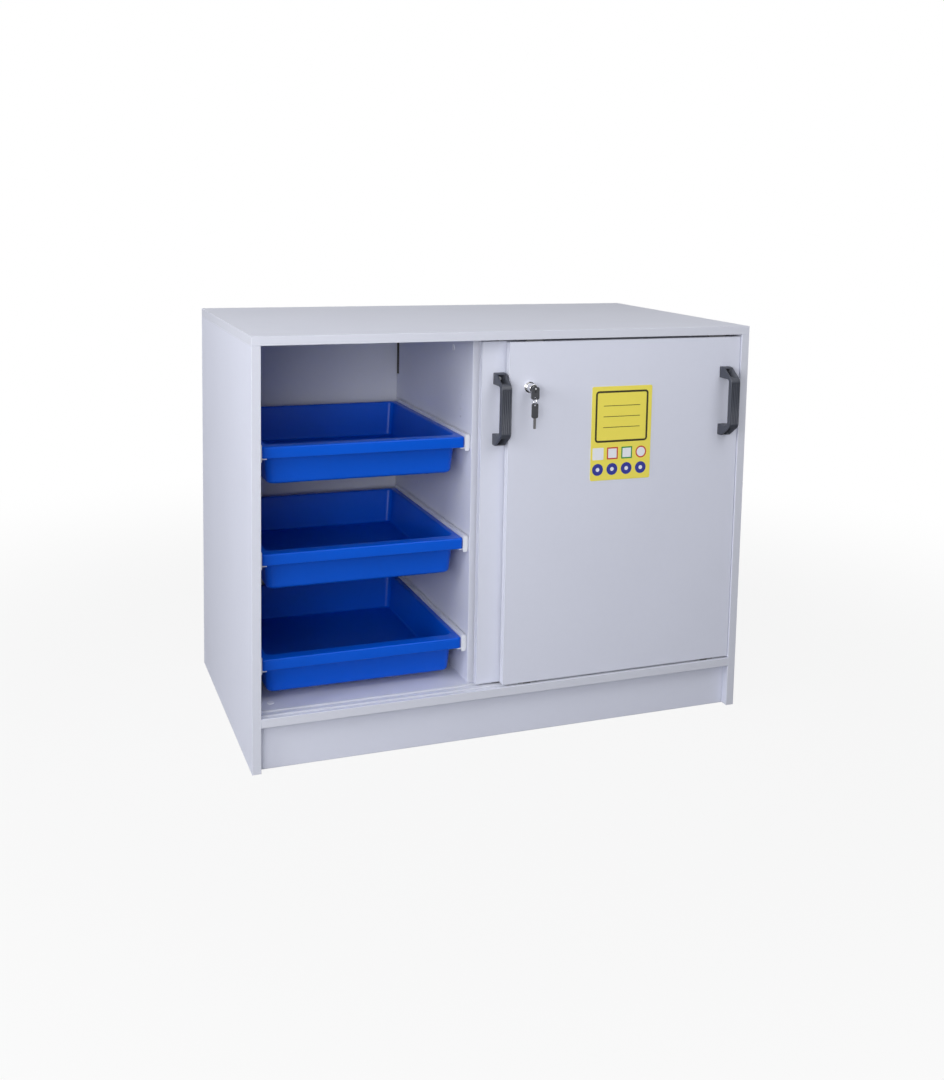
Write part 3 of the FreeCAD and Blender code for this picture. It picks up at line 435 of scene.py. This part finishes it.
# One rounded rectangle for each point of the section, as far in from the sides, front and rear as it says
def trayShape(low, high):
    centreX, halfX = (low.x + high.x) / 2, (high.x - low.x) / 2
    loops = []
    for inset, level in traySection(high.z - low.z):
        corner = float(np.interp(inset, tray["cornerAt"], tray["corner"]))
        front, back = low.y + endInset(inset, tray["front"]), high.y - endInset(inset, tray["rear"])
        flat = roundedLoop(halfX - inset, (back - front) / 2, corner, tray["steps"])
        flat += [centreX, (front + back) / 2]
        loops.append(np.column_stack([flat, np.full(len(flat), high.z + level)]))
    return stacked(loops)


def makeTrays():
    for side in ("left", "right"):
        for row in ("upper", "middle", "lower"):
            node = f"{side}_{row}_tray"
            points, faces = trayShape(*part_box(node))
            item = piece(f"{node}_shell", points, faces, materials["tray"], node)
            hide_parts(node)


# The grip's grooves; "foot" is how far from the handle's ends they stop
grooves = {"count": 5, "pitch": 0.0042, "radius": 0.0013, "depth": 0.0007, "foot": 0.031, "sides": 12}


# Handles: the solid with grooves cut along the grip by round bars, whose centres stand off its face
def grooveBars(low, high):
    turn = np.linspace(0, 2 * math.pi, grooves["sides"], endpoint=False)
    ring = np.stack([np.cos(turn), np.sin(turn)], axis=-1) * grooves["radius"]
    middle = (low.x + high.x) / 2
    front = low.y - grooves["radius"] + grooves["depth"]
    first = middle - grooves["pitch"] * (grooves["count"] - 1) / 2
    ends = (low.z + grooves["foot"], high.z - grooves["foot"])
    bars = []
    for step in range(grooves["count"]):
        flat = ring + [first + step * grooves["pitch"], front]
        bars.append(stacked([np.column_stack([flat, np.full(len(flat), level)]) for level in ends]))
    return merged(bars)


def welded(mesh):
    copy = mesh.copy()
    build = bmesh.new()
    build.from_mesh(copy)
    bmesh.ops.remove_doubles(build, verts=build.verts, dist=1e-6)
    build.to_mesh(copy)
    build.free()
    return copy


def makeHandles():
    for side in ("left", "right"):
        node = f"{side}_door_handle"
        bars = bpy.data.meshes.new("bars")
        points, faces = grooveBars(*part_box(node))
        bars.from_pydata(points.tolist(), [], faces)
        cutter = bpy.data.objects.new("bars", bars)
        scene.collection.objects.link(cutter)
        item = bpy.data.objects.new(f"{node}_grip", welded(nodes[node].data))
        scene.collection.objects.link(item)
        cut = item.modifiers.new("cut", "BOOLEAN")
        cut.operation, cut.object, cut.solver = "DIFFERENCE", cutter, "EXACT"
        bpy.context.view_layer.update()
        done = bpy.data.meshes.new_from_object(item.evaluated_get(bpy.context.evaluated_depsgraph_get()))
        item.modifiers.clear()
        item.data = done
        done.shade_smooth()
        done.set_sharp_from_angle(angle=math.radians(hardFrom["handle"]))
        done.materials.clear()
        done.materials.append(materials["handle"])
        bpy.data.objects.remove(cutter)
        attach(item, f"{side}_door")
        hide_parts(node)


# The sign's print, in metres from the plate's lower left corner or its edges
sign = {"columns": (0.018, 0.0535, 0.089, 0.1245), "upperRow": 0.060, "lowerRow": 0.0245, "token": 0.0135,
        "film": 0.00008, "steps": 6, "square": 0.0012, "border": 0.003, "dot": 0.0045,
        "frameLow": 0.085, "frameSide": 0.009, "frameTop": 0.010, "frameRound": 0.008, "line": 0.0045,
        "rules": (-0.024, 0, 0.024), "ruleSide": 0.02, "ruleHalf": 0.0007, "ruleRound": 0.0005}


# A thin film that stands on the plate: two rounded rectangles, or four joined in a ring where it has a hole
def filmShape(centreX, centreZ, halfX, halfZ, corner, front, hole=0.0):
    def loopAt(inset, round, level):
        flat = roundedLoop(halfX - inset, halfZ - inset, round, sign["steps"])
        return np.column_stack([flat[:, 0] + centreX, np.full(len(flat), level), flat[:, 1] + centreZ])

    rear = front + sign["film"]
    outer = [loopAt(0, corner, rear), loopAt(0, corner, front)]
    if not hole:
        return stacked(outer)
    round = max(corner - hole, 0.0004)
    loops = outer + [loopAt(hole, round, front), loopAt(hole, round, rear)]
    return np.concatenate(loops), ringFaces(4, len(loops[0]), joinRows=True)


def makeSignPrint():
    low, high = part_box("sign_plate")
    first, second = low.y - sign["film"], low.y - 2 * sign["film"]
    across = [low.x + column for column in sign["columns"]]
    size, square, border, dot = sign["token"], sign["square"], sign["border"], sign["dot"]
    small = size - border
    upper, lower = low.z + sign["upperRow"], low.z + sign["lowerRow"]
    middle = (low.x + high.x) / 2
    top, bottom = high.z - sign["frameTop"], low.z + sign["frameLow"]
    field, halfX, halfZ = (top + bottom) / 2, (high.x - low.x) / 2 - sign["frameSide"], (top - bottom) / 2
    reach, half, round = halfX - sign["ruleSide"], sign["ruleHalf"], sign["ruleRound"]
    rules = [filmShape(middle, field + rise, reach, half, round, first) for rise in sign["rules"]]
    films = {
        "ink": [filmShape(middle, field, halfX, halfZ, sign["frameRound"], first, sign["line"])] + rules,
        "white": [filmShape(across[0], upper, size, size, square, first),
                  filmShape(across[1], upper, small, small, square, first),
                  filmShape(across[2], upper, small, small, square, first),
                  filmShape(across[3], upper, small, small, small, first)]
                 + [filmShape(x, lower, dot, dot, dot, second) for x in across],
        "red": [filmShape(across[1], upper, size, size, square, first, border),
                filmShape(across[3], upper, size, size, size, first, border)],
        "green": [filmShape(across[2], upper, size, size, square, first, border)],
        "blue": [filmShape(x, lower, size, size, size, first) for x in across],
    }
    for name, shapes in films.items():
        points, faces = merged(shapes)
        piece(f"sign_print_{name}", points, faces, materials[name], "right_door", smooth=False)


makeTrays()
print("trays")
makeHandles()
print("handles")
makeSignPrint()
print("sign")


# Floor, light and camera

floorLook = {"half": 30.0, "mottle": 12.0, "tone": (0.34, 0.36), "near": 0.9, "far": 2.6,
             "white": (0.90, 1.0)}


# The floor shows the camera white that keeps part of the shadow, and all white far from the object
def makeFloor():
    mesh = bpy.data.meshes.new("floor")
    half = floorLook["half"]
    corners = [(-half, -half, 0), (half, -half, 0), (half, half, 0), (-half, half, 0)]
    mesh.from_pydata(corners, [], [(0, 1, 2, 3)])
    floor = bpy.data.objects.new("floor", mesh)
    scene.collection.objects.link(floor)
    material = bpy.data.materials.new("floor")
    material.use_nodes = True
    tree = material.node_tree
    tree.nodes.clear()
    place = objectPlace(tree)
    mottled = noise(tree, place, floorLook["mottle"], 3.0)
    darker, lighter = floorLook["tone"]
    tone = put(tree, "MapRange", {"Value": mottled, "To Min": darker, "To Max": lighter}).outputs[0]
    colour = put(tree, "CombineColor", {0: tone, 1: tone, 2: tone}).outputs[0]
    matt = put(tree, "BsdfDiffuse", {"Color": colour}).outputs[0]
    glow = put(tree, "Emission", {"Strength": 1.0}).outputs[0]
    away = put(tree, "VectorMath", {0: place}, operation="LENGTH").outputs["Value"]
    whiter = fade(tree, away, floorLook["near"], floorLook["far"], *floorLook["white"])
    rays = put(tree, "LightPath").outputs
    seen = calc(tree, "MAXIMUM", rays["Is Camera Ray"], rays["Is Transmission Ray"])
    share = calc(tree, "MULTIPLY", whiter, seen)
    both = put(tree, "MixShader", {0: share, 1: matt, 2: glow}).outputs[0]
    output = tree.nodes.new("ShaderNodeOutputMaterial")
    tree.links.new(both, output.inputs["Surface"])
    mesh.materials.append(material)


worldLight = {"colour": (0.97, 0.98, 1.0, 1), "strength": 0.22}


def makeWorld():
    world = bpy.data.worlds.new("studio")
    world.use_nodes = True
    tree = world.node_tree
    tree.nodes.clear()
    fills = {"Color": worldLight["colour"], "Strength": worldLight["strength"]}
    light = put(tree, "Background", fills).outputs[0]
    shown = put(tree, "Background", {"Color": (1, 1, 1, 1), "Strength": 1.0}).outputs[0]
    rays = put(tree, "LightPath").outputs
    seen = calc(tree, "MAXIMUM", rays["Is Camera Ray"],
                calc(tree, "MAXIMUM", rays["Is Glossy Ray"], rays["Is Transmission Ray"]))
    both = put(tree, "MixShader", {0: seen, 1: light, 2: shown}).outputs[0]
    output = tree.nodes.new("ShaderNodeOutputWorld")
    tree.links.new(both, output.inputs["Surface"])
    scene.world = world


# Square lamps in metres and watts, all turned to one point
lampAim = (0, -0.1, 0.5)
lamps = {"left": {"place": (-2.8, -0.8, 1.6), "side": 1.3, "power": 47.5},
         "top": {"place": (-0.8, -0.9, 2.6), "side": 1.2, "power": 1.6},
         "upper": {"place": (0.6, -1.7, 2.2), "side": 1.2, "power": 14.9},
         "side": {"place": (-2.2, -2.4, 1.3), "side": 1.2, "power": 17.4},
         "over": {"place": (-0.9, 0.45, 2.5), "side": 1.2, "power": 2.4},
         "broad": {"place": (-1.5, -3.0, 1.15), "side": 1.2, "power": 32.2}}


def makeLamps():
    for name, lamp in lamps.items():
        light = bpy.data.lights.new(name, "AREA")
        light.shape, light.size, light.energy = "SQUARE", lamp["side"], lamp["power"]
        item = bpy.data.objects.new(name, light)
        scene.collection.objects.link(item)
        item.location = lamp["place"]
        toward = Vector(lampAim) - Vector(lamp["place"])
        item.rotation_euler = toward.to_track_quat("-Z", "Y").to_euler()


# Camera, from a fit of the cabinet's corners: its place, measured forwards from the front of the top, its
# axes, its focal length and the row of its middle in pixels, and the sensor's width in millimetres
view = {"across": -1.01016, "forward": 2.36674, "level": 1.16393, "right": (0.935013, -0.354141, 0.018313),
        "ahead": (0.353837, 0.928299, -0.114281), "down": (-0.023472, -0.113335, -0.99328),
        "focal": 1219.86, "centreRow": 345, "rows": 1080, "sensor": 36}


def makeCamera():
    data = bpy.data.cameras.new("camera")
    data.sensor_width = view["sensor"]
    data.lens = view["focal"] * view["sensor"] / view["rows"]
    data.shift_y = (view["centreRow"] - view["rows"] / 2) / view["rows"]
    item = bpy.data.objects.new("camera", data)
    scene.collection.objects.link(item)
    up, back = -Vector(view["down"]), -Vector(view["ahead"])
    turned = Matrix((Vector(view["right"]), up, back)).transposed().to_4x4()
    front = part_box("top_panel")[0].y
    place = (view["across"], front - view["forward"], view["level"])
    item.matrix_world = Matrix.Translation(place) @ turned
    scene.camera = item


makeFloor()
makeWorld()
makeLamps()
makeCamera()
scene.view_settings.view_transform = "Standard"
print("floor, light and camera")

print("ready")
